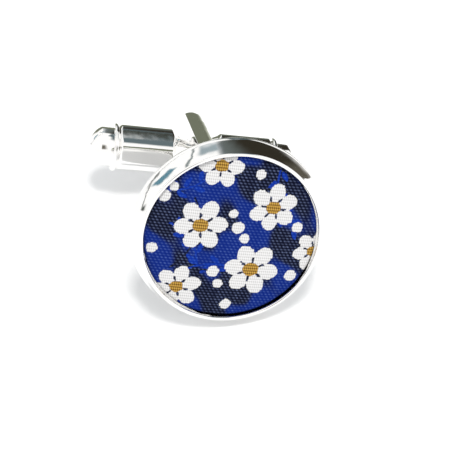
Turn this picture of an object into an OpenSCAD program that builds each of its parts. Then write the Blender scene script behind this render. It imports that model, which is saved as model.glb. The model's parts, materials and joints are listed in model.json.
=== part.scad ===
// A fabric cufflink that lies on a flat surface, in millimetres.
// The round bezel cup holds a cloth covered button, a fork stands on the cup's back,
// and a hexagonal bullet toggle swings between the fork's two legs.
//
// Each piece is drawn in the cufflink's own axes, and then laid down:
// x runs along the toggle, y runs from the cup's back along the fork,
// and z runs along the rivet that the toggle turns on, all from the centre of the cup's back.
// Laid down, its origin is on the surface, below the middle of its length and width.

/* [Bezel cup] */
// Radius of the rim, outside the rounded lip
rim_r = 9; // [8:0.1:10]
// Radius of the rounded edge at the cup's back
back_r = 9.7; // [9.2:0.1:10.2]
// Height of the cup from its back to the top of the lip
cup_h = 2.5; // [2.2:0.1:3]
// Thickness of the cup's floor
floor_t = 0.5; // [0.4:0.1:0.8]
// Radius of the rounded lip in section
lip_r = 0.2; // [0.18:0.01:0.3]

/* [Fabric pad] */
// Gap between the covered button and the cup
pad_gap = 0.08; // [0.05:0.01:0.15]
// Height of the button's edge above the cup's floor
pad_edge_h = 1.5; // [1.2:0.05:1.6]
// Rise of the domed face at its middle
pad_rise = 0.4; // [0.2:0.05:0.6]
// Rounding of the button's edge
pad_round = 0.3; // [0.2:0.05:0.5]

/* [Fork] */
// Distance from the cup's back to the rivet
post_l = 18.8; // [16:0.1:22]
// How far the legs reach past the rivet
leg_tip = 4.1; // [2:0.1:5]
// Width of a leg
leg_w = 1.9; // [1.2:0.1:2]
// Thickness of a leg at its crown
leg_t = 0.88; // [0.85:0.01:1.6]
// Radius of the domed outer face of a leg
leg_dome_r = 3; // [1:0.1:4]
// Distance from the fork's middle to the flat inner face of a leg
leg_inner = 2.75; // [2.7:0.01:3]
// Thickness of the strap that joins the legs on the cup's back
foot_t = 0.9; // [0.6:0.1:1.5]
// How far the fork sits beside the cup's axis
fork_x = -0.4; // [-0.8:0.1:0]
// Radius of the rivet
rivet_r = 0.5; // [0.4:0.05:0.7]

/* [Toggle] */
// Distance across the flats of the hexagonal bar
hex_flats = 4.9; // [4.6:0.05:5]
// Radius of the bar's corners, which are turned down a little
hex_r = 2.64; // [2.6:0.01:2.66]
// Half length of the round waist at the bar's middle
waist_half = 2.4; // [1.8:0.1:3]
// Radius of the waist at its middle
waist_r = 1.55; // [1.4:0.05:1.9]
// Radius of the waist at its ends, to which it flares
waist_end_r = 2.25; // [2:0.05:2.3]
// Half length of the straight stretch in the waist's middle
waist_mid = 0.5; // [0.3:0.1:1]
// Distance from the rivet to the end of the hexagonal bar
bar_half = 8.6; // [8:0.1:9.5]
// Depth and length of the chamfer at each end of a hexagon
chamfer = 0.35; // [0.2:0.05:0.5]
// Radius of the collar at each end
collar_r = 2.66; // [2.64:0.01:2.68]
// Thickness of the collar
collar_t = 0.45; // [0.3:0.05:0.6]
// Radius of the domed cap
cap_r = 2.15; // [1.8:0.05:2.4]
// Length of the domed cap, past the collar
cap_l = 2.65; // [2:0.05:3.2]
// Radius of the cap's rounded end
dome_r = 2.4; // [2.4:0.1:3]

/* [Rest] */
// How far the fork slopes down to its tip, in degrees
lean = 15; // [10:0.1:18]
// How far the toggle slopes down to its right end, in degrees
roll = 12.7; // [8:0.1:15]

/* [Hidden] */
$fn = 96;
// An overlap that joins two shapes of one piece
bite = 0.1;
// The small gap between pieces that meet flat on flat
seat_gap = 0.03;
// The running clearance of the toggle's bore on the rivet
bore_gap = 0.05;
back_round = 0.3;
// How far the lip and the back's rounded edge stand out from the wall
proud = 0.04;
lip_mid = rim_r - lip_r;
wall_in = lip_mid - lip_r + proud;
pad_r = lip_mid - lip_r - pad_gap;
pad_base = floor_t + 0.05;
leg_outer = leg_inner + leg_t;
foot_reach = leg_inner + leg_t / 2;
leg_l = post_l + leg_tip;
// Height of the back's centre where the rounded edge touches the surface
rest_h = (back_r - back_round) * cos(lean) - back_round * sin(lean) + back_round;
// How far the lip reaches to the front of the back's centre, and the upper leg's tip behind it
front_reach = (cup_h - lip_r) * cos(lean) + lip_mid * sin(lean) + lip_r;
tip_reach = leg_l * cos(lean) + leg_outer * cos(roll) * sin(lean);
silver = [0.86, 0.86, 0.85];
cloth_blue = [0.08, 0.14, 0.45];

// Lays the cufflink down on three points: the cup's back edge, the lower leg's tip and the right collar.
module lay_down() {
    translate([-fork_x * cos(roll), (front_reach - tip_reach) / 2, rest_h])
        rotate([-lean, 0, 0])
            rotate([0, roll, 0])
                children();
}

// Turns a shape that is drawn upright on the cup's floor to face the front.
module face_front() {
    rotate([90, 0, 0])
        children();
}

// Places a shape at the rivet, in the middle between the legs.
module at_rivet() {
    translate([fork_x, post_l, 0])
        children();
}

module cup() {
    face_front() rotate_extrude($fn = 128) {
        square([wall_in, floor_t]);
        translate([wall_in - bite, 0]) square([back_r - back_round - wall_in + bite, 2 * back_round]);
        translate([back_r - back_round, back_round]) circle(back_round, $fn = 32);
    }
    face_front() rotate_extrude($fn = 128) {
        polygon([
            [wall_in, back_round],
            [back_r - proud, back_round],
            [rim_r - proud, cup_h - lip_r],
            [wall_in, cup_h - lip_r]
        ]);
        translate([lip_mid, cup_h - lip_r]) circle(lip_r, $fn = 32);
    }
}

// One leg, straight along y, with a flat inner face, a domed outer face and a round end.
module leg() {
    difference() {
        intersection() {
            rotate([-90, 0, 0])
                linear_extrude(leg_l)
                    intersection() {
                        translate([-leg_w / 2, -leg_outer]) square([leg_w, leg_t]);
                        translate([0, leg_dome_r - leg_outer]) circle(leg_dome_r);
                    }
            translate([0, 0, leg_inner - bite]) linear_extrude(leg_t + 2 * bite) {
                translate([-leg_w / 2, 0]) square([leg_w, leg_l - leg_w / 2]);
                translate([0, leg_l - leg_w / 2]) circle(leg_w / 2);
            }
        }
        translate([0, post_l, leg_inner - bite]) cylinder(h = leg_t + 2 * bite, r = rivet_r);
    }
}

module fork() {
    leg();
    mirror([0, 0, 1]) leg();
    translate([-leg_w / 2, -bite, -foot_reach])
        cube([leg_w, foot_t + bite, 2 * foot_reach]);
}

module cup_and_fork() {
    color(silver) lay_down() {
        cup();
        translate([fork_x, 0, 0]) fork();
    }
}

module fabric_pad() {
    dome = (pad_r * pad_r + pad_rise * pad_rise) / (2 * pad_rise);
    pad_top = pad_base + pad_edge_h + pad_rise;
    color(cloth_blue) lay_down() face_front() rotate_extrude($fn = 128) intersection() {
        union() {
            translate([0, pad_base]) square([pad_r, pad_edge_h - pad_round]);
            translate([0, pad_base]) square([pad_r - pad_round, pad_edge_h + pad_rise]);
            translate([pad_r - pad_round, pad_base + pad_edge_h - pad_round])
                circle(pad_round, $fn = 32);
        }
        translate([0, pad_top - dome]) circle(dome, $fn = 360);
    }
}

module rivet() {
    color(silver) lay_down() at_rivet()
        translate([0, 0, -leg_outer + seat_gap]) cylinder(h = 2 * (leg_outer - seat_gap), r = rivet_r);
}

// A length of hexagonal bar along z, chamfered at both ends, with two of its corners on the x axis.
module hex_length(from, to) {
    intersection() {
        translate([0, 0, from]) cylinder(h = to - from, r = hex_flats / 2 / cos(30), $fn = 6);
        rotate_extrude() polygon([
            [0, from],
            [hex_r - chamfer, from],
            [hex_r, from + chamfer],
            [hex_r, to - chamfer],
            [hex_r - chamfer, to],
            [0, to]
        ]);
    }
}

// Turns a shape that is drawn along z to lie along the toggle, with its x axis pointing down.
module along_toggle() {
    rotate([0, 90, 0])
        children();
}

// Half of the waist, from its middle to just inside the hexagonal bar.
module waist() {
    rotate_extrude() polygon([
        [0, -waist_mid],
        [waist_r, -waist_mid],
        [waist_r, waist_mid],
        [waist_end_r, waist_half],
        [waist_end_r, waist_half + bite],
        [0, waist_half + bite]
    ]);
}

module toggle_bar() {
    color(silver) lay_down() at_rivet() difference() {
        along_toggle() {
            hex_length(waist_half, bar_half);
            hex_length(-bar_half, -waist_half);
            waist();
            mirror([0, 0, 1]) waist();
        }
        translate([0, 0, -hex_r]) cylinder(h = 2 * hex_r, r = rivet_r + bore_gap);
    }
}

// A collar and domed cap along z, with the collar's inner face at the end of the bar.
module end_cap() {
    collar_start = bar_half + seat_gap;
    cap_start = collar_start + collar_t;
    translate([0, 0, collar_start]) cylinder(h = collar_t, r = collar_r);
    intersection() {
        translate([0, 0, cap_start - bite]) cylinder(h = cap_l + bite, r = cap_r);
        translate([0, 0, cap_start + cap_l - dome_r]) sphere(dome_r);
    }
}

module left_cap() {
    color(silver) lay_down() at_rivet() mirror([1, 0, 0]) along_toggle() end_cap();
}

module right_cap() {
    color(silver) lay_down() at_rivet() along_toggle() end_cap();
}

cup_and_fork();
fabric_pad();
rivet();
toggle_bar();
left_cap();
right_cap();
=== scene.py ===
# %% [markdown]
# # A fabric cufflink that lies on a table
# A round silver plated cup holds a button covered with printed cotton. A fork stands on the cup's
# back, and a hexagonal bar with bullet caps turns between its legs to hold the cuff.
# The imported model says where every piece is. This file gives each one its fine shape and finish.

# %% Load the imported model
import json
import math

import bmesh
import bpy
import numpy as np
from mathutils import Matrix, Vector


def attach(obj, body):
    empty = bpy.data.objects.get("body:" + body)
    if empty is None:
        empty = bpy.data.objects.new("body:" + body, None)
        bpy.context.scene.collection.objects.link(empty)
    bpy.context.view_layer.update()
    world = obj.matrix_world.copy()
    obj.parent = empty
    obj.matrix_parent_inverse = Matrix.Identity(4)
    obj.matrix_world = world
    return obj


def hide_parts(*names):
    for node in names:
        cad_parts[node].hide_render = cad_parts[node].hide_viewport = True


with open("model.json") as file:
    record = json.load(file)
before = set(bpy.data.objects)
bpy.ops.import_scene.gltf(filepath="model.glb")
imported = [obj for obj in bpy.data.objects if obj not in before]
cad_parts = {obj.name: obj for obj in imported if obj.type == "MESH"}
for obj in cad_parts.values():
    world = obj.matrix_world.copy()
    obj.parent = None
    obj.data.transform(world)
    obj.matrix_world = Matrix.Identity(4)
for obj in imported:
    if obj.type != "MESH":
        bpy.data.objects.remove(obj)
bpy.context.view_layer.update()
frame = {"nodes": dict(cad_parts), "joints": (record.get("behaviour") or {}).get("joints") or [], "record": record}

# %% [markdown]
# ## The cufflink's own axes
# The cufflink lies tilted, so its pieces are easier to draw in its own axes and to lay down
# afterwards: x runs along the toggle, y from the cup's back along the fork, z along the rivet. The
# rivet's place and axis come from the joint, and the fork's direction from the mount on the cup's
# back. Lengths below are millimetres, and the matrix turns them into metres.

# %% Work out the matrix that lays a piece down
MM = 0.001
POST_L = 18.8      # from the cup's back to the rivet
FORK_X = -0.4      # how far the fork sits beside the cup's axis

swivel = frame["joints"][0]
mounts = {m["name"]: m for m in frame["record"]["mounts"]}
rivet_at = Vector(swivel["pos_m"])
rivet_axis = Vector(swivel["axis"]).normalized()
fork_axis = Vector(mounts["cuff_face"]["axis"]).normalized()
toggle_axis = fork_axis.cross(rivet_axis)

turn = Matrix((toggle_axis, fork_axis, rivet_axis)).transposed().to_4x4()
cup_back = rivet_at - (turn @ Vector((FORK_X, POST_L, 0))) * MM
lay_down = Matrix.Translation(cup_back) @ turn @ Matrix.Scale(MM, 4)
face_front = Matrix.Rotation(math.radians(90), 4, "X")
at_rivet = Matrix.Translation((FORK_X, POST_L, 0))
along_toggle = at_rivet @ Matrix.Rotation(math.radians(90), 4, "Y")
print("cup's back at", [round(c * 1000, 2) for c in cup_back], "mm")

# %% [markdown]
# ## Helpers for the metal
# The cup, the caps and the rivet are turned on a lathe, so each is half an outline that is spun
# about its axis. Round stretches of an outline are arcs. Polished metal shows every facet, so the
# spins take many steps and only real corners stay sharp.

# %% Outline, spin and finishing helpers
SPIN_STEPS = 192
SHARP = math.radians(32)    # faces that meet at more than this keep a sharp edge


def arc(centre, radius, start, end, steps):
    """Points on an arc in an outline, from one angle to another, in degrees."""
    angles = [math.radians(start + (end - start) * k / steps) for k in range(steps + 1)]
    return [(centre[0] + radius * math.cos(a), centre[1] + radius * math.sin(a)) for a in angles]


def turned(outline, steps=SPIN_STEPS):
    """A bmesh of an outline of (radius, height) points, spun about the z axis."""
    bm = bmesh.new()
    verts = [bm.verts.new((max(r, 0.0), 0, h)) for r, h in outline]
    edges = [bm.edges.new(pair) for pair in zip(verts, verts[1:])]
    bmesh.ops.spin(bm, geom=verts + edges, cent=(0, 0, 0), axis=(0, 0, 1), angle=math.tau,
                   steps=steps, use_merge=True)
    bmesh.ops.remove_doubles(bm, verts=bm.verts, dist=1e-5)
    bmesh.ops.recalc_face_normals(bm, faces=bm.faces)
    return bm


def finish_metal(name, bm, place, body, *nodes):
    """Lays a metal piece down, marks its real corners and puts it on its CAD body."""
    bm.transform(lay_down @ place)
    bmesh.ops.recalc_face_normals(bm, faces=bm.faces)
    for face in bm.faces:
        face.smooth = True
    for edge in bm.edges:
        edge.smooth = len(edge.link_faces) == 2 and edge.calc_face_angle(0) < SHARP
    mesh = bpy.data.meshes.new(name)
    bm.to_mesh(mesh)
    bm.free()
    piece = bpy.data.objects.new(name, mesh)
    bpy.context.scene.collection.objects.link(piece)
    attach(piece, body)
    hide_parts(*nodes)
    print(name, len(mesh.polygons), "faces")
    return piece


# %% [markdown]
# ## The cup
# The cup is pressed from sheet: a flat back with a rounded edge, a short wall that narrows towards
# the front, and a small rounded lip. The lip and the back's edge stand out from the wall a
# little, and catch the light as two thin bright lines. A bevelled cylinder would have the back but
# not the hollow wall and the lip, so the cup's whole section is one outline, and it is spun.

# %% Draw the cup's wall
BACK_R, BACK_ROUND = 9.7, 0.3           # radius of the back, and of its rounded edge
RIM_R, LIP_R, PROUD = 9.0, 0.2, 0.04    # the rim, the lip's section, and how far both stand out
CUP_H, FLOOR_T = 2.5, 0.5
LIP_MID, LIP_H = RIM_R - LIP_R, CUP_H - LIP_R
WALL_IN = LIP_MID - LIP_R + PROUD
WALL_FROM, WALL_TO = BACK_ROUND + 0.14, LIP_H - 0.02    # heights between which the wall shows
WALL_HOLLOW = 0.05                      # how far its middle is drawn in


def wall_points(steps):
    """The wall's outside, from the back's rounded edge to the lip, a little hollow in the middle."""
    low, high = (BACK_R - PROUD, WALL_FROM), (RIM_R - PROUD, WALL_TO)
    points = []
    for k in range(steps + 1):
        t = k / steps
        hollow = WALL_HOLLOW * math.sin(math.pi * t)
        points.append((low[0] + (high[0] - low[0]) * t - hollow, low[1] + (high[1] - low[1]) * t))
    return points


wall_lean = math.degrees(math.atan((BACK_R - RIM_R) / (WALL_TO - WALL_FROM)))
print("the wall leans", round(wall_lean), "degrees")

# %% Spin the cup
MID_FLOOR = 4       # a ring of points half way out keeps the floor's faces short
LIP_TUCK = 0.05     # how far below the lip's middle the wall's inside starts
cup_outline = (
    [(0, 0), (MID_FLOOR, 0), (BACK_R - BACK_ROUND, 0)]
    + arc((BACK_R - BACK_ROUND, BACK_ROUND), BACK_ROUND, -90, 25, 14)[1:]
    + wall_points(10)
    + arc((LIP_MID, LIP_H), LIP_R, 8, 172, 20)
    + [(WALL_IN, LIP_H - LIP_TUCK), (WALL_IN, FLOOR_T), (MID_FLOOR, FLOOR_T), (0, FLOOR_T)]
)
cup = finish_metal("cup", turned(cup_outline), face_front, "root", "cup_and_fork")

# %% [markdown]
# ## The fork
# Two straight legs and the strap between them are one bent strip of domed flat wire, soldered to
# the back. A leg's inner face is flat and its end is round. A curve with a bevel could give its
# section, but it can't round the end, so one ring of points is placed at each station along the
# leg, and the rings are bridged.

# %% Draw a leg's section
LEG_L = POST_L + 4.1        # the legs reach 4.1 mm past the rivet
LEG_W, LEG_T = 1.9, 0.88    # width, and thickness at the crown
LEG_IN = 2.75               # from the fork's middle to a leg's inner face
LEG_DOME = 3.0              # radius of the domed outer face
LEG_CORNER = 0.1            # how far the section's corners are rounded


def leg_section():
    """The section of a leg: (x, height above the inner face), flat below and domed above."""
    half = LEG_W / 2
    side = math.degrees(math.acos((half - LEG_CORNER) / LEG_DOME))
    top = LEG_T - LEG_DOME + LEG_DOME * math.sin(math.radians(side)) - LEG_CORNER
    dome = arc((0, LEG_T - LEG_DOME), LEG_DOME, side, 180 - side, 20)
    outer_right = arc((half - LEG_CORNER, top), LEG_CORNER, 0, side, 4)
    outer_left = arc((-half + LEG_CORNER, top), LEG_CORNER, 180 - side, 180, 4)
    inner_left = arc((-half + LEG_CORNER, LEG_CORNER), LEG_CORNER, 180, 270, 4)
    inner_right = arc((half - LEG_CORNER, LEG_CORNER), LEG_CORNER, 270, 360, 4)
    return outer_right[:-1] + dome + outer_left[1:] + inner_left + inner_right


print("a leg's section has", len(leg_section()), "points")

# %% Place the stations along a leg
TIP_FROM = LEG_L - LEG_W / 2                    # where the round end starts
EVEN = [0.0, 6.0, 12.0, POST_L]                 # stations on the even stretch
THINNING = [19.4, 19.8, 20.2, 20.6, 21.2]       # stations where the leg gets thinner
THIN_FROM, THIN_EACH = 19.8, 0.015              # where that starts, and the share that each mm takes
TIP_CROWN, TIP_WIDTH = 0.85, 0.04               # shares of the height and the width left at the tip


def leg_stations():
    """Places along a leg, close together round the tip."""
    tip = [LEG_L - LEG_W / 2 * (1 - math.sin(math.radians(a))) for a in range(6, 90, 6)]
    return EVEN + THINNING + [TIP_FROM] + tip


def tip_scale(y):
    """How much of the full width is left at this place near the tip."""
    past = (y - TIP_FROM) / (LEG_W / 2)
    return 1.0 if past <= 0 else math.sqrt(max(1 - past * past, 0))


print("a leg has", len(leg_stations()), "stations")


# %% Sweep the legs
def sweep_leg(bm, sign):
    """Adds one leg to the bmesh: its section at each station, bridged to the last one."""
    rings = []
    for y in leg_stations():
        scale = tip_scale(y)
        width = max(scale, TIP_WIDTH)
        crown = TIP_CROWN + (1 - TIP_CROWN) * scale - THIN_EACH * max(y - THIN_FROM, 0)
        ring = [bm.verts.new((x * width, y, sign * (LEG_IN + h * crown))) for x, h in leg_section()]
        edges = [bm.edges.new(pair) for pair in zip(ring, ring[1:] + ring[:1])]
        if rings:
            bmesh.ops.bridge_loops(bm, edges=rings[-1] + edges)
        else:
            bm.faces.new(ring)
        rings.append(edges)
    bm.faces.new(ring)


fork_bm = bmesh.new()
sweep_leg(fork_bm, 1)
sweep_leg(fork_bm, -1)
print("legs", len(fork_bm.faces), "faces")

# %% Set the foot on the cup's back
FOOT_W, FOOT_T = LEG_W - 0.02, 0.9      # a hair narrower than the legs
FOOT_Z = LEG_IN + LEG_T / 2             # half its length, to the middle of each leg
FOOT_IN, FOOT_ROUND = 0.02, 0.12        # how far it is set into the back, and its edges' rounding
foot = bmesh.ops.create_cube(fork_bm, size=1)["verts"]
bmesh.ops.scale(fork_bm, verts=foot, vec=(FOOT_W, FOOT_T, 2 * FOOT_Z))
bmesh.ops.translate(fork_bm, verts=foot, vec=(0, FOOT_T / 2 - FOOT_IN, 0))
foot_edges = list({e for v in foot for e in v.link_edges})
bmesh.ops.bevel(fork_bm, geom=foot_edges, offset=FOOT_ROUND, affect="EDGES", segments=3,
                profile=0.5, material=-1)
fork = finish_metal("fork", fork_bm, Matrix.Translation((FORK_X, 0, 0)), "root", "cup_and_fork")

# %% [markdown]
# ## The rivet
# A plain pin whose ends are filed flush with the legs, so little of it shows. It is spun like the
# cup, with a small bevel and a slight crown at each end.

# %% Spin the rivet
RIVET_R = 0.5
RIVET_END = LEG_IN + LEG_T - 0.05           # just inside the leg's crown
RIVET_BEVEL, RIVET_CROWN = 0.06, 0.02
upper_end = [(RIVET_R, RIVET_END - RIVET_BEVEL), (RIVET_R - RIVET_BEVEL, RIVET_END),
             (0, RIVET_END + RIVET_CROWN)]
lower_end = [(r, -h) for r, h in reversed(upper_end)]
rivet = finish_metal("rivet_pin", turned(lower_end + upper_end, 48), at_rivet, "root", "rivet")

# %% [markdown]
# ## The toggle
# The bar is hexagonal stock, turned down at its ends and at its waist, which flares towards the
# hexagons. A lathe cut meets a hexagon's flats in arcs, so the bar starts as a spun rod, and every
# point is then drawn in to whichever is nearer the axis, the hexagon or the cut. The cut also takes
# the corners down a little, and a soft minimum rounds what is left of them. One corner points along
# the rivet.

# %% Say how far the bar reaches from its axis
HEX_FLAT = 2.45                     # from the axis to a flat
HEX_R = 2.64                        # from the axis to a turned down corner
WAIST_R, WAIST_END_R = 1.55, 2.25   # radius of the waist in its middle, and at its ends
WAIST_MID, WAIST_HALF = 0.5, 2.4    # half lengths of its straight stretch, and of all of it
BAR_HALF = 8.6
CHAMFER = 0.35
EDGE_SOFT = 0.05                    # how far a corner of the hexagon is rounded off


def soft_min(values):
    """The least of the values, with the joins between them rounded."""
    lowest = min(values)
    return lowest - EDGE_SOFT * math.log(sum(math.exp((lowest - v) / EDGE_SOFT) for v in values))


def cut_radius(s):
    """Radius that the lathe leaves at this place along the bar."""
    s = abs(s)
    if s <= WAIST_HALF:
        flare = max(s - WAIST_MID, 0) / (WAIST_HALF - WAIST_MID)
        return WAIST_R + (WAIST_END_R - WAIST_R) * flare
    return HEX_R - CHAMFER + min(s - WAIST_HALF, BAR_HALF - s, CHAMFER)


full_corner = HEX_FLAT / math.cos(math.radians(30))
print("the bar's corners are cut down by", round(full_corner - HEX_R, 2), "mm")

# %% Place the stations along the bar
CLOSE = 0.05            # distance between stations where a chamfer is
NEAR_GAP, END = 0.02, 0.6     # gap after the waist, and length of the close stretch at an end


def bar_stations():
    """Places along half the bar, close together where the chamfers are."""
    near = [WAIST_HALF + NEAR_GAP + k * CLOSE for k in range(14)]
    far = [BAR_HALF - END + k * CLOSE for k in range(13)]
    middle = [near[-1] + (far[0] - near[-1]) * k / 10 for k in range(1, 10)]
    waist = [0.0, WAIST_MID - CLOSE, WAIST_MID + CLOSE, 1.0, 1.5, 2.0, WAIST_HALF]
    return waist + near + middle + far


stations = bar_stations()
stations = [-s for s in reversed(stations[1:])] + stations
print("the bar has", len(stations), "stations")

# %% Spin a rod and draw it in to the bar
ROD_R = 1               # any radius will do, as every point is moved
FACES_US = 0.4          # least cosine of a flat that bounds a point
rod_outline = [(0, stations[0])] + [(ROD_R, s) for s in stations] + [(0, stations[-1])]
bar_bm = turned(rod_outline, steps=144)
for vert in bar_bm.verts:
    x, y, s = vert.co
    reach = math.hypot(x, y)
    if reach < ROD_R / 2:
        continue
    angle = math.atan2(y, x)
    facing = [math.cos(angle - math.radians(30 + 60 * k)) for k in range(6)]
    flats = [HEX_FLAT / c for c in facing if c > FACES_US]
    radius = soft_min(flats + [cut_radius(s)])
    vert.co = (x * radius / reach, y * radius / reach, s)
toggle_bar = finish_metal("hexagonal_bar", bar_bm, along_toggle, "toggle", "toggle_bar")

# %% [markdown]
# ## The bullet caps
# Each end has a thin collar and a domed cap, turned in one piece. The collar's edges are broken, so
# it shows as one bright ring. The left cap is the same outline with its heights turned round. A
# mirrored mesh would do as well, but its normals would have to be turned back.

# %% Spin both caps
COLLAR_R, COLLAR_T = 2.66, 0.45
COLLAR_EDGE = 0.2                       # radius of the collar's rounded edges
CAP_R, CAP_L, DOME_R = 2.15, 2.65, 2.4
SEAT_GAP, CAP_FILLET = 0.03, 0.05       # gap to the bar's end, and the step from collar to cap
CAP_STEPS = 96
collar_start = BAR_HALF + SEAT_GAP
collar_mid = COLLAR_R - COLLAR_EDGE
cap_start = collar_start + COLLAR_T
dome_at = cap_start + CAP_L - DOME_R
dome_from = math.degrees(math.acos(CAP_R / DOME_R))
right_outline = (
    [(0, collar_start), (collar_mid, collar_start)]
    + arc((collar_mid, collar_start + COLLAR_EDGE), COLLAR_EDGE, -90, 0, 4)[1:]
    + arc((collar_mid, cap_start - COLLAR_EDGE), COLLAR_EDGE, 0, 90, 4)
    + [(CAP_R + CAP_FILLET, cap_start), (CAP_R, cap_start + CAP_FILLET)]
    + arc((0, dome_at), DOME_R, dome_from, 90, 24)
)
left_outline = [(r, -h) for r, h in right_outline]
right_cap = finish_metal("right_bullet", turned(right_outline, CAP_STEPS), along_toggle,
                         "toggle", "right_cap")
left_cap = finish_metal("left_bullet", turned(left_outline, CAP_STEPS), along_toggle,
                        "toggle", "left_cap")

# %% [markdown]
# ## The printed cotton
# Cotton lawn is a plain weave: each thread goes over one and under one. A hundred and fifty
# separate threads would be heavy, and a bump in the material alone would leave the mesh smooth. So
# the cloth is one fine grid, four points to a warp thread, whose height is the higher of the two
# threads there.

# %% Lay out the cloth's threads
WARP, WEFT = 0.2, 0.3         # distance between threads, across and up
POINTS = (4, 6)               # grid points to a thread, across and up
PAD_R, PAD_ROUND = 8.52, 0.3  # radius of the button, and of its edge
PAD_TOP, PAD_DOME = 2.45, 91.4    # height of its middle, and radius of its domed face
CLOTH_R = PAD_R + 0.35        # radius of the cloth that shows, laid flat
WAVE, SAG = 0.018, 0.022      # how far a thread rises over its neighbour, and how round it is

across = int(2 * CLOTH_R / (WARP / POINTS[0]))
up = int(2 * CLOTH_R / (WEFT / POINTS[1]))
cloth_bm = bmesh.new()
bmesh.ops.create_grid(cloth_bm, x_segments=across, y_segments=up, size=1)
bmesh.ops.scale(cloth_bm, verts=cloth_bm.verts,
                vec=(across * WARP / POINTS[0] / 2, up * WEFT / POINTS[1] / 2, 1))
outside = [v for v in cloth_bm.verts if math.hypot(v.co.x, v.co.y) > CLOTH_R]
bmesh.ops.delete(cloth_bm, geom=outside, context="VERTS")
cloth_mesh = bpy.data.meshes.new("printed_cotton")
cloth_bm.to_mesh(cloth_mesh)
cloth_bm.free()
flat = np.zeros(len(cloth_mesh.vertices) * 3)
cloth_mesh.vertices.foreach_get("co", flat)
flat = flat.reshape(-1, 3)
u, v = flat[:, 0], flat[:, 1]
print("cloth", len(u), "points,", len(cloth_mesh.polygons) * 2, "triangles")

# %% Weave the threads
SQUEEZE = 1.9       # how soon a thread's round top drops: at 2 it would reach its edge
warp_no, weft_no = np.floor(u / WARP), np.floor(v / WEFT)
warp_in, weft_in = u / WARP - warp_no - 0.5, v / WEFT - weft_no - 0.5
warp_over = np.where((warp_no + weft_no) % 2 == 0, 1.0, -1.0)


def thread_noise(numbers, seed):
    """A steady random number from 0 to 1 for each thread."""
    table = np.random.default_rng(seed).random(512)
    return table[numbers.astype(int) % 512]


def roundness(inside):
    """How far a thread's round top has dropped, from its middle to its edge."""
    return 1 - np.sqrt(np.clip(1 - (SQUEEZE * inside) ** 2, 0, 1))


warp_height = WAVE * warp_over * np.cos(np.pi * weft_in) - SAG * roundness(warp_in)
weft_height = -WAVE * warp_over * np.cos(np.pi * warp_in) - SAG * roundness(weft_in)
height = np.maximum(warp_height, weft_height)
print("weave stands", round(float(height.max() - height.min()), 3), "mm deep")

# %% Stretch the cloth over the padded button
reach = np.hypot(u, v)
flat_r = PAD_R - PAD_ROUND
over_edge = np.clip((reach - flat_r) / PAD_ROUND, 0, math.pi / 2)
down_side = np.clip(reach - flat_r - PAD_ROUND * math.pi / 2, 0, None)
tilt = np.where(reach < flat_r, reach / PAD_DOME, over_edge)
edge_top = PAD_TOP - flat_r ** 2 / (2 * PAD_DOME)
radius = np.where(reach < flat_r, reach, flat_r + PAD_ROUND * np.sin(over_edge))
rise = np.where(reach < flat_r, PAD_TOP - reach ** 2 / (2 * PAD_DOME),
                edge_top - PAD_ROUND * (1 - np.cos(over_edge)) - down_side)
radius = radius + height * np.sin(tilt)
rise = rise + height * np.cos(tilt) - WAVE
out = np.divide(radius, reach, out=np.ones_like(reach), where=reach > 1e-9)
points = np.column_stack([u * out, v * out, rise, np.ones_like(u)])
place = np.array(lay_down @ face_front)
cloth_mesh.vertices.foreach_set("co", (points @ place.T)[:, :3].ravel())
cloth_mesh.update()
print("the cloth turns down", round(float(rise.max() - rise.min()), 2), "mm to its edge")

# %% [markdown]
# ## The print
# White six petalled flowers with ochre hearts, round white buds and small leaf sprays lie on navy
# cloth that is mottled with royal blue. Every motif is a short function of the distance to a few
# centres, and the layout is a short table. A motif's edge follows the threads a little, which gives
# it the small steps that printed cloth has. The result is kept on the cloth's points, because a
# layout like this would take hundreds of shader nodes.

# %% Draw the motifs
STEPPED, WANDER = 0.25, 0.07    # how far a motif's edge follows the threads, and how far it strays
cell_u, cell_v = (warp_no + 0.5) * WARP, (weft_no + 0.5) * WEFT
px = (1 - STEPPED) * u + STEPPED * cell_u + WANDER * (thread_noise(weft_no + 40, 3) - 0.5)
py = (1 - STEPPED) * v + STEPPED * cell_v + WANDER * (thread_noise(warp_no + 40, 4) - 0.5)


def ellipse(cx, cy, long_r, short_r, angle):
    """Under 1 inside an ellipse whose long axis points along the angle."""
    c, s = math.cos(angle), math.sin(angle)
    along, beside = (px - cx) * c + (py - cy) * s, -(px - cx) * s + (py - cy) * c
    return np.hypot(along / long_r, beside / short_r)


# Shares of a flower's size: a petal's place, how much that varies, and its half length and width
PETAL_AT, PETAL_STRAY, PETAL_LONG, PETAL_WIDE = 0.58, 0.04, 0.4, 0.31
# The same for a stamen, then the radius of the white middle and of the heart
STAMEN_AT, STAMEN_LONG, STAMEN_WIDE = 0.38, 0.12, 0.05
MIDDLE_R, HEART_R, HEART_FLAT = 0.4, 0.29, 1.1


def flower(cx, cy, size, turned_by, petals=6):
    """Masks of a flower's petals, its heart and the dark stamens round it."""
    white = np.hypot(px - cx, py - cy) < MIDDLE_R * size
    stamens = np.zeros(len(px), bool)
    for k in range(petals):
        a = math.radians(turned_by + 360 / petals * k)
        away = size * (PETAL_AT + PETAL_STRAY * math.sin(5 * k + cx))
        white |= ellipse(cx + away * math.cos(a), cy + away * math.sin(a),
                         PETAL_LONG * size, PETAL_WIDE * size, a) < 1
        a += math.pi / petals
        away = STAMEN_AT * size
        stamens |= ellipse(cx + away * math.cos(a), cy + away * math.sin(a),
                           STAMEN_LONG * size, STAMEN_WIDE * size, a) < 1
    heart = np.hypot(px - cx, (py - cy) * HEART_FLAT) < HEART_R * size
    return white, heart, stamens & ~heart


def on_arc(cx, cy, r, first, last, half_width):
    """Mask of a thin arc."""
    bearing = (np.degrees(np.arctan2(py - cy, px - cx)) - first) % 360
    return (abs(np.hypot(px - cx, py - cy) - r) < half_width) & (bearing < last - first)


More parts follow.
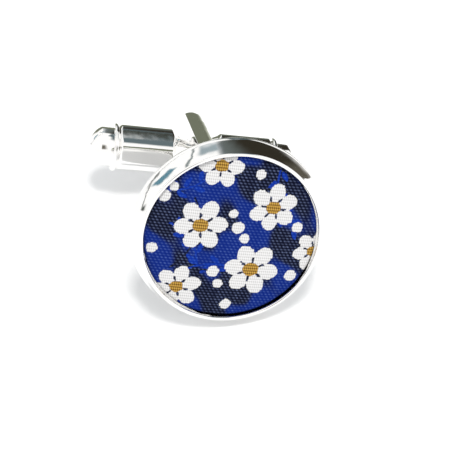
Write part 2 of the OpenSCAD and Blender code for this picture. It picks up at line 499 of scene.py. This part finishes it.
print("motifs are drawn at", len(px), "points")

# %% Lay out the print
FLOWERS = [  # centre across, centre up, petal reach, turn in degrees
    (-3.3, 1.2, 2.7, 8),
    (3.5, 3.6, 2.5, 25),
    (2.4, -3.1, 2.8, -5),
    (-4.6, -5.6, 2.4, 18),
    (-2.2, 7.4, 2.3, 0),
    (8.4, -0.8, 2.2, 12),
]
BUDS = [  # centre across, centre up, radius
    (0.4, 1.3, 0.62), (1.2, 0.2, 0.5), (-0.3, 2.7, 0.45),
    (-1.3, -3.6, 0.6), (-0.6, -4.9, 0.5),
    (6.3, 1.7, 0.55), (6.6, -3.6, 0.6), (-7.2, 3.9, 0.6), (-6.4, 4.9, 0.45), (-7.6, -1.6, 0.55),
    (0.6, -7.2, 0.55), (1.7, 6.9, 0.5),
]
SPRAYS = [  # centre of the stem's arc, its radius, start and end in degrees
    (-1.0, -9.0, 6.2, 60, 125),
    (9.5, 6.5, 6.0, 170, 240),
    (-8.0, -3.5, 5.0, 10, 70),
    (-7.0, 9.5, 5.0, 270, 340),
]
VEINS = [  # centre of a thin navy arc, its radius, start and end in degrees
    (-2.0, -12.0, 8.5, 50, 110),
    (10.5, 3.0, 6.5, 150, 225),
    (-9.5, 1.0, 6.0, -50, 30),
    (3.0, 13.0, 7.5, 215, 300),
]
MOTTLE = [  # waves across and up, in radians to the mm, and where each starts
    (0.55, 0.3, 1.0), (-0.4, 0.62, 2.1), (0.9, -0.5, 0.4), (0.2, 1.1, 4.0), (1.6, 1.2, 2.6),
]
print(len(FLOWERS), "flowers,", len(BUDS), "buds,", len(SPRAYS), "sprays and", len(VEINS), "veins")

# %% Print them over each other
STEM_HALF, VEIN_HALF = 0.09, 0.1        # half widths of a stem and of a vein
LEAF_FIRST, LEAF_EVERY = 6, 9           # degrees along the stem to the first leaf, and between leaves
LEAF_LONG, LEAF_WIDE, LEAF_AWAY = 0.55, 0.24, 0.55
LEAF_OUT, LEAF_IN = 50, 130             # how far a leaf on each side turns from the stem's radius
MOTTLE_SHIFT, MOTTLE_EDGE = 0.1, 4      # more shift means more blue, and more edge a crisper patch

white_ink, gold_ink, dark_ink, leaf_ink = (np.zeros(len(px), bool) for _ in range(4))
for cx, cy, r, first, last in SPRAYS:
    leaf_ink |= on_arc(cx, cy, r, first, last, STEM_HALF)
    for k, b in enumerate(np.arange(first + LEAF_FIRST, last, LEAF_EVERY)):
        a = math.radians(b)
        away, lean = (r + LEAF_AWAY, LEAF_OUT) if k % 2 else (r - LEAF_AWAY, LEAF_IN)
        leaf_ink |= ellipse(cx + away * math.cos(a), cy + away * math.sin(a), LEAF_LONG, LEAF_WIDE,
                            a + math.radians(lean)) < 1
for vein in VEINS:
    dark_ink |= on_arc(*vein, VEIN_HALF)
for cx, cy, r in BUDS:
    bud = np.hypot(px - cx, py - cy) < r
    white_ink |= bud
    dark_ink &= ~bud
for cx, cy, size, turned_by in FLOWERS:
    petals_on, heart_on, stamens_on = flower(cx, cy, size, turned_by)
    white_ink |= petals_on
    gold_ink |= heart_on
    dark_ink = (dark_ink & ~petals_on) | stamens_on

mottle = sum(np.sin(fx * px + fy * py + phase) for fx, fy, phase in MOTTLE)
royal_ink = 1 / (1 + np.exp(-(mottle + MOTTLE_SHIFT) * MOTTLE_EDGE))
print("white", round(float(white_ink.mean()), 2), "of the cloth")

# %% Keep the inks on the cloth's points
PATCH_BLUE = 0.62       # share of royal blue in the mottled patches; the leaves have all of it
ones = np.ones_like(u)


def keep(name, *channels):
    """Stores three values for each point of the cloth as one colour attribute."""
    attribute = cloth_mesh.attributes.new(name, "FLOAT_COLOR", "POINT")
    colours = np.column_stack([*channels, ones]).astype(np.float32)
    attribute.data.foreach_set("color", colours.ravel())
    print(name, [round(float(share), 2) for share in colours[:, :3].mean(axis=0)])


gold_only = gold_ink & ~dark_ink
white_only = white_ink & ~gold_ink & ~dark_ink
blue_share = np.where(leaf_ink, 1.0, PATCH_BLUE * royal_ink)
blue_share = np.where(dark_ink, 0.0, blue_share)
keep("inks", white_only, gold_only, blue_share)

# %% Keep the weave on them too
# Each warp thread that comes up shows as a short slanting dash, as its yarn is twisted
DASH_LONG, DASH_WIDE, DASH_SLANT = 0.13, 0.06, math.radians(-22)
from_warp = np.where(warp_over > 0, warp_in, warp_in - np.sign(warp_in)) * WARP
from_weft = weft_in * WEFT
dash_along = from_warp * math.cos(DASH_SLANT) + from_weft * math.sin(DASH_SLANT)
dash_beside = -from_warp * math.sin(DASH_SLANT) + from_weft * math.cos(DASH_SLANT)
dash = np.exp(-(dash_along / DASH_LONG) ** 2 - (dash_beside / DASH_WIDE) ** 2)
crown = (height - height.min()) / (height.max() - height.min())
shade = (thread_noise(warp_no + 200, 7) + thread_noise(weft_no + 200 + 31 * warp_no, 8)) / 2
keep("weave", crown, shade, dash)

# %% Put the cloth on its body
cloth_mesh.polygons.foreach_set("use_smooth", [True] * len(cloth_mesh.polygons))
cloth = bpy.data.objects.new("printed_cotton", cloth_mesh)
bpy.context.scene.collection.objects.link(cloth)
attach(cloth, "root")
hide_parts("fabric_pad")

# %% [markdown]
# ## Finishes
# Silver plate is nearly white and mirror bright, and its look is mostly what it reflects. Small
# ripples from polishing bend the reflections, and faint haze from handling softens them here and
# there. Both come from noise on object coordinates, so they stay on the piece when it moves.

# %% Small helpers for materials
def new_material(name):
    """An empty node material with a Principled shader, and its nodes and links."""
    material = bpy.data.materials.new(name)
    material.use_nodes = True
    tree = material.node_tree
    return material, tree, tree.nodes["Principled BSDF"]


def add(tree, kind, **values):
    """Adds a node and sets its properties and inputs by name."""
    node = tree.nodes.new(kind)
    for key, value in values.items():
        if key in node.inputs:
            node.inputs[key].default_value = value
        else:
            setattr(node, key, value)
    return node


# %% The polish that every metal piece shares
RIPPLE_SCALE, RIPPLE_DEPTH = 420.0, 0.0003      # ripples about 2 mm apart, and their depth in metres
HAZE_SCALE = 900.0
POLISH = 0.035                                  # roughness where there is no haze


def polish_group():
    """A node group: ripples for the normal, and haze for the roughness, on object coordinates."""
    group = bpy.data.node_groups.new("polished_plate", "ShaderNodeTree")
    for name, usual in (("Ripple", 0.1), ("Haze", 0.05)):
        socket = group.interface.new_socket(name, in_out="INPUT", socket_type="NodeSocketFloat")
        socket.default_value = usual
    group.interface.new_socket("Roughness", in_out="OUTPUT", socket_type="NodeSocketFloat")
    group.interface.new_socket("Normal", in_out="OUTPUT", socket_type="NodeSocketVector")
    start_node = group.nodes.new("NodeGroupInput")
    end_node = group.nodes.new("NodeGroupOutput")
    place_node = group.nodes.new("ShaderNodeTexCoord")
    ripple = add(group, "ShaderNodeTexNoise", Scale=RIPPLE_SCALE, Detail=2.0)
    bump = add(group, "ShaderNodeBump", Distance=RIPPLE_DEPTH)
    haze = add(group, "ShaderNodeTexNoise", Scale=HAZE_SCALE, Detail=4.0)
    spread = add(group, "ShaderNodeMath", operation="MULTIPLY")
    base = add(group, "ShaderNodeMath", operation="ADD")
    base.inputs[1].default_value = POLISH
    link = group.links.new
    link(place_node.outputs["Object"], ripple.inputs["Vector"])
    link(place_node.outputs["Object"], haze.inputs["Vector"])
    link(ripple.outputs["Fac"], bump.inputs["Height"])
    link(start_node.outputs["Ripple"], bump.inputs["Strength"])
    link(haze.outputs["Fac"], spread.inputs[0])
    link(start_node.outputs["Haze"], spread.inputs[1])
    link(spread.outputs[0], base.inputs[0])
    link(base.outputs[0], end_node.inputs["Roughness"])
    link(bump.outputs["Normal"], end_node.inputs["Normal"])
    return group


polish = polish_group()
print("polish", len(polish.nodes), "nodes")

# %% Silver plate
SILVER = (0.97, 0.962, 0.95, 1)


def silver(name, ripple, haze):
    """Silver plate with its own amount of ripple and haze."""
    material, tree, shader = new_material(name)
    shader.inputs["Base Color"].default_value = SILVER
    shader.inputs["Metallic"].default_value = 1.0
    group = tree.nodes.new("ShaderNodeGroup")
    group.node_tree = polish
    group.inputs["Ripple"].default_value = ripple
    group.inputs["Haze"].default_value = haze
    tree.links.new(group.outputs["Roughness"], shader.inputs["Roughness"])
    tree.links.new(group.outputs["Normal"], shader.inputs["Normal"])
    return material


cup_plate = silver("cup_plate", 0.12, 0.06)
toggle_plate = silver("toggle_plate", 0.06, 0.08)
cup.data.materials.append(cup_plate)
for piece in (fork, rivet, toggle_bar, left_cap, right_cap):
    piece.data.materials.append(toggle_plate)
for name, node in frame["nodes"].items():
    if name != "fabric_pad":
        node.data.materials.clear()
        node.data.materials.append(toggle_plate)
print("silver on", cup.name, "and", fork.name)

# %% [markdown]
# ## The dye on the cotton
# Printed cotton is matt, and its colour is never even. White and ochre are painted darker in the gaps
# between the threads, which is painted shade, and the blue ground shows the paler yarn wherever a warp
# thread comes up. So each ink's colour is mixed from the two attributes on the cloth's points.

# %% Colours of the inks and the bare yarn
NAVY = (0.0012, 0.002, 0.012, 1)
ROYAL = (0.004, 0.027, 0.29, 1)
GOLD = (0.63, 0.37, 0.075, 1)
# painted shade: the colour of ochre in the gaps between the threads
GOLD_GAP_SHADE = (0.07, 0.028, 0.004, 1)
WHITE = (0.79, 0.78, 0.775, 1)
# painted shade: the colour of white in the gaps between the threads
WHITE_GAP_SHADE = (0.5, 0.485, 0.48, 1)
BARE_FIBRE = (0.13, 0.165, 0.3, 1)
ROYAL_FIBRE = (0.035, 0.1, 0.43, 1)
cotton, cotton_tree, cotton_shader = new_material("printed_cotton")


def attribute_parts(name):
    """The three channels of an attribute of the cloth, by the names Red, Green and Blue."""
    attribute = add(cotton_tree, "ShaderNodeAttribute", attribute_name=name)
    split = cotton_tree.nodes.new("ShaderNodeSeparateColor")
    cotton_tree.links.new(attribute.outputs["Color"], split.inputs["Color"])
    return split.outputs


ink, thread = attribute_parts("inks"), attribute_parts("weave")
print("the cotton reads", ink.keys(), "of both attributes")


# %% Mix the inks by the weave
def mix_colour(tree, fac, a, b):
    """Mixes two colours, each a constant or another node's output."""
    node = add(tree, "ShaderNodeMix", data_type="RGBA")
    tree.links.new(fac, node.inputs["Factor"])
    for value, socket in ((a, node.inputs[6]), (b, node.inputs[7])):
        if isinstance(value, tuple):
            socket.default_value = value
        else:
            tree.links.new(value, socket)
    return node.outputs[2]


def between(value, low, high, from_low=0.0, from_high=1.0):
    """Maps a value of the cotton's tree to a new range."""
    node = add(cotton_tree, "ShaderNodeMapRange")
    ends = {"From Min": from_low, "From Max": from_high, "To Min": low, "To Max": high}
    for name, number in ends.items():
        node.inputs[name].default_value = number
    cotton_tree.links.new(value, node.inputs["Value"])
    return node.outputs["Result"]


def product(a, b):
    """Multiplies two values of the cotton's tree."""
    node = add(cotton_tree, "ShaderNodeMath", operation="MULTIPLY")
    cotton_tree.links.new(a, node.inputs[0])
    cotton_tree.links.new(b, node.inputs[1])
    return node.outputs[0]


dashes = product(thread["Blue"], between(thread["Green"], 0.3, 1.1))    # some dashes are fainter
# painted shade: this factor darkens white and ochre where a point lies low between the threads
gap_shade = between(thread["Red"], 1.0, 0.0, 0.3, 1.0)                       # 1 deep between the threads
ground = mix_colour(cotton_tree, ink["Blue"], NAVY, ROYAL)
fibre = mix_colour(cotton_tree, ink["Blue"], BARE_FIBRE, ROYAL_FIBRE)
ground = mix_colour(cotton_tree, dashes, ground, fibre)
gold = mix_colour(cotton_tree, gap_shade, GOLD, GOLD_GAP_SHADE)
white = mix_colour(cotton_tree, product(gap_shade, gap_shade), WHITE, WHITE_GAP_SHADE)
ground = mix_colour(cotton_tree, ink["Green"], ground, gold)
ground = mix_colour(cotton_tree, ink["Red"], ground, white)
cotton_tree.links.new(ground, cotton_shader.inputs["Base Color"])
cotton_shader.inputs["Roughness"].default_value = 0.9
cotton_shader.inputs["Specular IOR Level"].default_value = 0.06
cloth.data.materials.append(cotton)
print("cotton", len(cotton_tree.nodes), "nodes")

# %% [markdown]
# ## Floor and light
# The cufflink lies on a white sheet of paper under one soft round light, which stands a little to the
# front, so that the shadows fall behind. The light's disc would show as a spot in the silver, so
# glossy rays don't see it.

# %% The floor
FLOOR_R = 0.065     # in metres
PAPER = (0.96, 0.96, 0.96, 1)
floor_bm = bmesh.new()
bmesh.ops.create_circle(floor_bm, cap_ends=True, segments=96, radius=FLOOR_R)
floor_mesh = bpy.data.meshes.new("floor")
floor_bm.to_mesh(floor_mesh)
floor_bm.free()
floor = bpy.data.objects.new("floor", floor_mesh)
bpy.context.scene.collection.objects.link(floor)
paper, _, paper_shader = new_material("white_paper")
paper_shader.inputs["Base Color"].default_value = PAPER
paper_shader.inputs["Roughness"].default_value = 0.9
paper_shader.inputs["Specular IOR Level"].default_value = 0.0
floor_mesh.materials.append(paper)
print("the floor is", round(2 * FLOOR_R / MM), "mm across")

# %% The key light
KEY_TILT = math.radians(20)     # how far it leans to the front
KEY_FAR = 0.4                   # in metres
key_data = bpy.data.lights.new("key", "AREA")
key_data.shape = "DISK"
key_data.size = 0.09
key_data.energy = 0.8
key_data.color = (1.0, 0.985, 0.965)
key = bpy.data.objects.new("key", key_data)
key.location = (0, -math.sin(KEY_TILT) * KEY_FAR, math.cos(KEY_TILT) * KEY_FAR)
key.rotation_euler = (KEY_TILT, 0, 0)
key.visible_glossy = False
bpy.context.scene.collection.objects.link(key)
print("key light at", [round(c, 3) for c in key.location])

# %% [markdown]
# ## What the silver reflects
# Polished silver shows the room and little else. Real walls round the table would be hard to tune,
# because moving one changes every reflection. So the world is the room, painted by direction: white
# all round, a dim corner behind the table, which the plate shows as dark bands, and soft edged
# patches for a window, a blind, a beam and the camera. Only glossy rays see it. A bearing is in
# degrees to the right of straight behind the table, and a height in degrees above it.

# %% Helpers that paint by direction
world = bpy.data.worlds.new("studio")
bpy.context.scene.world = world
world.use_nodes = True
wt = world.node_tree
wt.nodes.clear()
DEGREES = 180 / math.pi         # in a radian


def maths(operation, a, b=None):
    """A maths node on one or two values, each a number or another node's output."""
    node = add(wt, "ShaderNodeMath", operation=operation)
    for value, socket in ((a, node.inputs[0]), (b, node.inputs[1])):
        if isinstance(value, (int, float)):
            socket.default_value = value
        elif value is not None:
            wt.links.new(value, socket)
    return node.outputs[0]


def smooth(value, low, high):
    """Rises smoothly from 0 at low to 1 at high, or falls if high is the smaller."""
    node = add(wt, "ShaderNodeMapRange", interpolation_type="SMOOTHSTEP")
    ends = (low, high, 0.0, 1.0) if low < high else (high, low, 1.0, 0.0)
    for name, number in zip(("From Min", "From Max", "To Min", "To Max"), ends):
        node.inputs[name].default_value = number
    wt.links.new(value, node.inputs["Value"])
    return node.outputs["Result"]


direction = wt.nodes.new("ShaderNodeTexCoord")
parts = wt.nodes.new("ShaderNodeSeparateXYZ")
wt.links.new(direction.outputs["Generated"], parts.inputs[0])
azimuth = maths("MULTIPLY", maths("ARCTAN2", parts.outputs["X"], parts.outputs["Y"]), DEGREES)
elevation = maths("MULTIPLY", maths("ARCSINE", parts.outputs["Z"]), DEGREES)


# %% Two shapes to paint with
def patch(bearing, rise, slant=0.0):
    """A soft edged patch of the room: each range is (start, full, fade, end) in degrees."""
    across = maths("SUBTRACT", azimuth, maths("MULTIPLY", elevation, slant))
    sides = maths("MULTIPLY", smooth(across, *bearing[:2]), smooth(across, *bearing[:1:-1]))
    levels = maths("MULTIPLY", smooth(elevation, *rise[:2]), smooth(elevation, *rise[:1:-1]))
    return maths("MULTIPLY", sides, levels)


def ring(bearing, rise, angles):
    """A thin ring of the room round one direction; angles from it are (start, full, fade, end)."""
    turned_to, raised = math.radians(bearing), math.radians(rise)
    towards = add(wt, "ShaderNodeVectorMath", operation="DOT_PRODUCT")
    wt.links.new(direction.outputs["Generated"], towards.inputs[0])
    towards.inputs[1].default_value = (math.sin(turned_to) * math.cos(raised),
                                       math.cos(turned_to) * math.cos(raised), math.sin(raised))
    angle = maths("MULTIPLY", maths("ARCCOSINE", towards.outputs["Value"]), DEGREES)
    return maths("MULTIPLY", smooth(angle, *angles[:2]), smooth(angle, *angles[:1:-1]))


# %% The dim corner behind the table
WHITE_ROOM = (1.06, 1.06, 1.05, 1)
CORNER_LEFT, CORNER_RIGHT = (0.12, 0.14, 0.135, 1), (0.03, 0.026, 0.018, 1)
CORNER_EDGE, CORNER_FOOT = (0.2, 0.23, 0.25, 1), (0.1, 0.09, 0.07, 1)
corner = mix_colour(wt, smooth(azimuth, 12, 36), CORNER_LEFT, CORNER_RIGHT)
corner = mix_colour(wt, smooth(azimuth, 14, 2), corner, CORNER_EDGE)
corner = mix_colour(wt, smooth(elevation, 12, -4), corner, CORNER_FOOT)

# %% Paint the room, each patch over the ones before it
PATCHES = [  # bearing and height, each as start, full, fade and end in degrees, colour, slant
    ((-2, 9, 55, 62), (-18, -12, 56, 64), corner, 0.0),
    ((-60, -50, 14, 19), (-95, -91, -7, 1), WHITE_ROOM, 0.0),                   # the table top
    ((-20, -12, 22, 27), (-30, -24, -5, -2), (0.58, 0.61, 0.5, 1), 0.0),        # a mat on it
    ((-26, -18, 2, 8), (44, 49, 54, 62), (0.33, 0.4, 0.43, 1), 0.0),            # a pale blind
    ((26, 38, 108, 150), (50, 58, 72, 80), (0.125, 0.165, 0.18, 1), 0.0),       # a slate ceiling
    ((36, 40, 45, 47.5), (57.0, 58.2, 60, 64), (0.5, 0.52, 0.52, 1), 0.0),      # a glow on it
    ((174, 178, 180.9, 183.4), (50, 54, 60, 64), (0.045, 0.05, 0.04, 1), -2.4),     # a beam
    ((-36, -24, 18, 28), (-9, -4, 14, 24), (0.165, 0.18, 0.13, 1), 0.0),        # a low olive wall
    ((-71, -69.5, -63, -61), (13, 16, 31, 34), (0.11, 0.25, 0.32, 1), 0.65),    # a blue window
    ((-33, -31, -30, -28), (30, 34, 60, 70), (0.2, 0.24, 0.24, 1), 0.0),        # a post
    ((-62, -60, -57, -54), (-10, -8, -6, -2), (0.07, 0.08, 0.07, 1), 0.0),      # a small dark foot
    ((-178, -166, -150, -134), (16, 26, 38, 52), (0.15, 0.14, 0.115, 1), 0.0),  # the camera
]
LINE = (0.05, 0.06, 0.055, 1)       # a thin dark moulding, round one direction and only at the left
room = WHITE_ROOM
for bearing, rise, colour, slant in PATCHES:
    room = mix_colour(wt, patch(bearing, rise, slant), room, colour)
moulding = ring(-9.7, 5.5, (51.3, 52.0, 52.4, 53.1))
at_left = patch((-75, -66, -38, -28), (-8, -3, 44, 54))
room = mix_colour(wt, maths("MULTIPLY", moulding, at_left), room, LINE)
print("the room has", len(PATCHES), "patches and a moulding")

# %% Show the room to glossy rays and a plain white to all others
PLAIN, PLAIN_STRENGTH = (0.965, 0.985, 1.0, 1), 0.84
seen = wt.nodes.new("ShaderNodeBackground")
wt.links.new(room, seen.inputs["Color"])
plain = wt.nodes.new("ShaderNodeBackground")
plain.inputs["Color"].default_value = PLAIN
plain.inputs["Strength"].default_value = PLAIN_STRENGTH
rays = wt.nodes.new("ShaderNodeLightPath")
blend = wt.nodes.new("ShaderNodeMixShader")
out_node = wt.nodes.new("ShaderNodeOutputWorld")
wt.links.new(rays.outputs["Is Glossy Ray"], blend.inputs["Fac"])
wt.links.new(plain.outputs[0], blend.inputs[1])
wt.links.new(seen.outputs[0], blend.inputs[2])
wt.links.new(blend.outputs[0], out_node.inputs["Surface"])
print("world", len(wt.nodes), "nodes")

# %% [markdown]
# ## The camera
# The camera looks down at the cup's face from the front and a little from the left, near enough for
# perspective to show. It aims beside the face's centre, which puts the cufflink where it belongs
# in the view without a lens shift.

# %% The camera
AZIMUTH, ELEVATION = math.radians(-10.8), math.radians(41.44)
FAR = 0.1251        # from the point that it aims at, in metres
LENS = 103.54       # focal length in mm
FACE_RIGHT, FACE_DOWN = 0.000601, 0.001332      # the face's centre, from the middle of the view
right = Vector((math.cos(AZIMUTH), math.sin(AZIMUTH), 0))
back = Vector((math.sin(AZIMUTH) * math.cos(ELEVATION), -math.cos(AZIMUTH) * math.cos(ELEVATION),
               math.sin(ELEVATION)))
above = back.cross(right)
face_centre = cup_back - fork_axis * CUP_H * MM
aim = face_centre - right * FACE_RIGHT + above * FACE_DOWN
camera_data = bpy.data.cameras.new("camera")
camera_data.lens = LENS
camera_data.sensor_width = 36
camera_data.clip_start = 0.005
camera = bpy.data.objects.new("camera", camera_data)
camera.location = aim + back * FAR
camera.rotation_mode = "QUATERNION"
camera.rotation_quaternion = (-back).to_track_quat("-Z", "Y")
bpy.context.scene.collection.objects.link(camera)
bpy.context.scene.camera = camera
bpy.context.scene.view_settings.view_transform = "Standard"
print("camera at", [round(c, 4) for c in camera.location])
